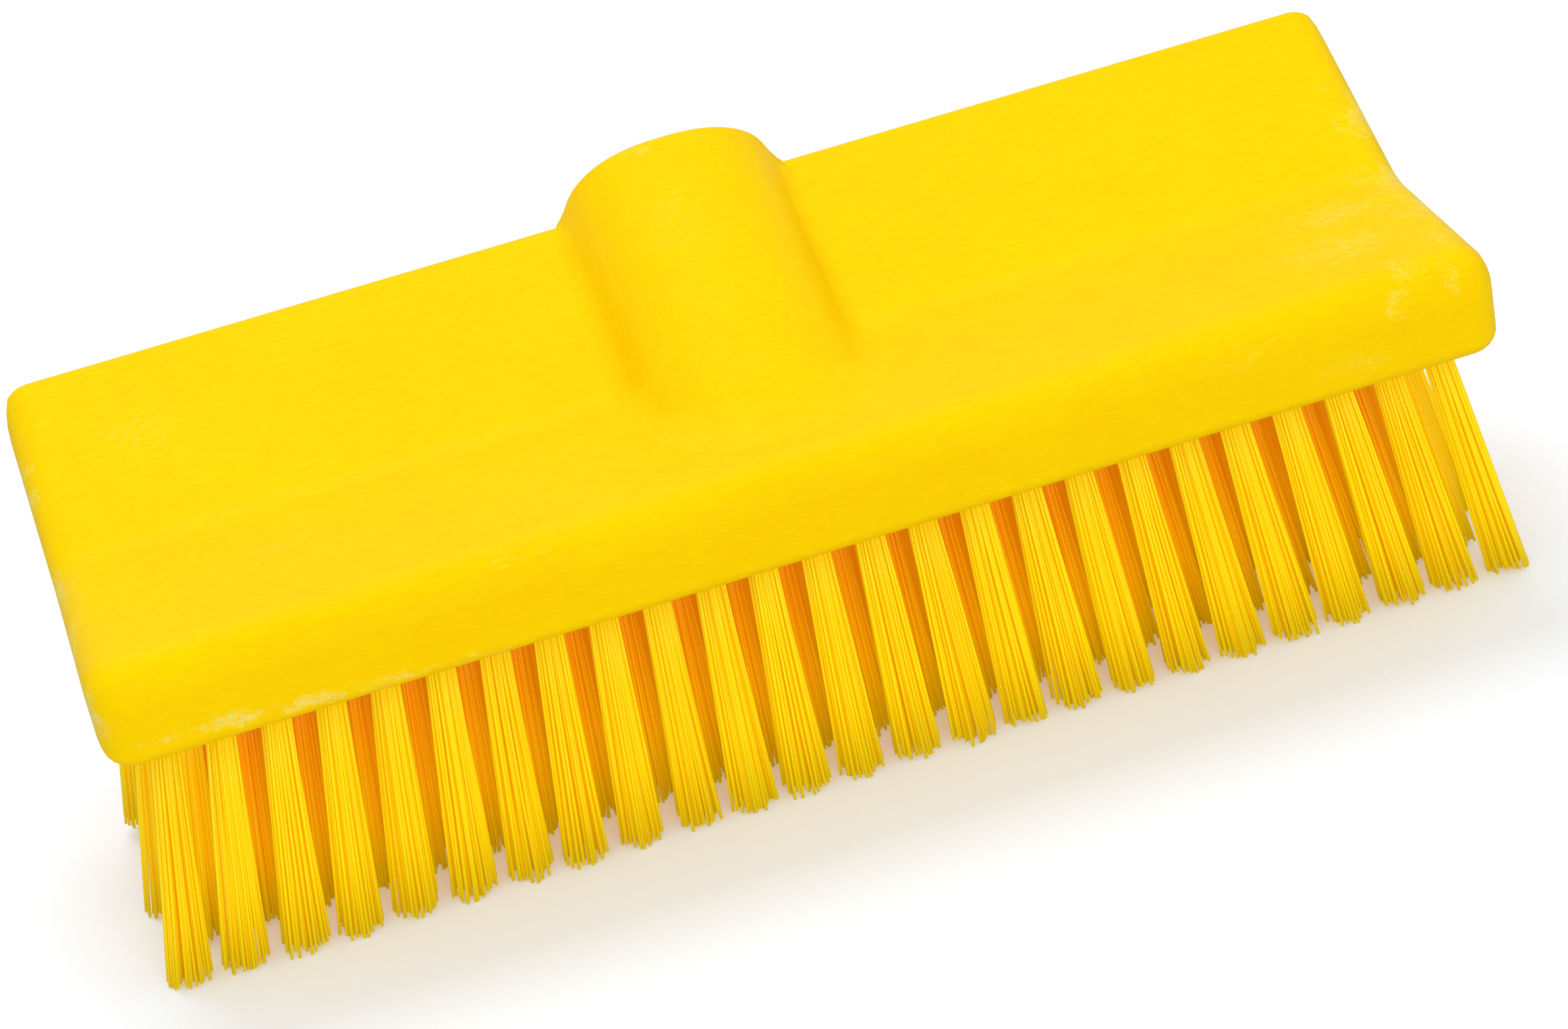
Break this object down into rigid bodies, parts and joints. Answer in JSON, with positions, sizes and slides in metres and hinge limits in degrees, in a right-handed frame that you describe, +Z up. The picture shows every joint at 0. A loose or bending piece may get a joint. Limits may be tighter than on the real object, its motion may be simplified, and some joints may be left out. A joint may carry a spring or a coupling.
{
  "type": "deck scrub brush head",
  "caption": "Bi-level deck scrub brush head with a moulded block, staggered rows of stiff bristle tufts and a socket for a threaded handle.",
  "frame": {"origin": "on the floor under the tips of the flat rows, at the middle of the length and of the depth", "axes": "+X along the block, +Y from the front wall towards the raised wing and the socket's mouth, +Z up"},
  "size_m": [0.256, 0.0936, 0.1005],
  "materials": {
    "yellow_block": "satin",
    "yellow_bristle": "gloss"
  },
  "bodies": {
    "root": {"brush_block": "yellow_block", "flat_row_1_tufts_1": "yellow_bristle", "flat_row_1_tufts_2": "yellow_bristle", "flat_row_1_tufts_3": "yellow_bristle", "flat_row_1_tufts_4": "yellow_bristle", "flat_row_1_tufts_5": "yellow_bristle", "flat_row_2_tufts_1": "yellow_bristle", "flat_row_2_tufts_2": "yellow_bristle", "flat_row_2_tufts_3": "yellow_bristle", "flat_row_2_tufts_4": "yellow_bristle", "flat_row_2_tufts_5": "yellow_bristle", "flat_row_2_tufts_6": "yellow_bristle", "flat_row_3_tufts_1": "yellow_bristle", "flat_row_3_tufts_2": "yellow_bristle", "flat_row_3_tufts_3": "yellow_bristle", "flat_row_3_tufts_4": "yellow_bristle", "flat_row_3_tufts_5": "yellow_bristle", "flat_row_4_tufts_1": "yellow_bristle", "flat_row_4_tufts_2": "yellow_bristle", "flat_row_4_tufts_3": "yellow_bristle", "flat_row_4_tufts_4": "yellow_bristle", "flat_row_4_tufts_5": "yellow_bristle", "flat_row_4_tufts_6": "yellow_bristle", "raised_row_5_tufts_1": "yellow_bristle", "raised_row_5_tufts_2": "yellow_bristle", "raised_row_5_tufts_3": "yellow_bristle", "raised_row_5_tufts_4": "yellow_bristle", "raised_row_5_tufts_5": "yellow_bristle", "raised_row_6_tufts_1": "yellow_bristle", "raised_row_6_tufts_2": "yellow_bristle", "raised_row_6_tufts_3": "yellow_bristle", "raised_row_6_tufts_4": "yellow_bristle", "raised_row_6_tufts_5": "yellow_bristle", "raised_row_6_tufts_6": "yellow_bristle"}
  },
  "joints": []
}
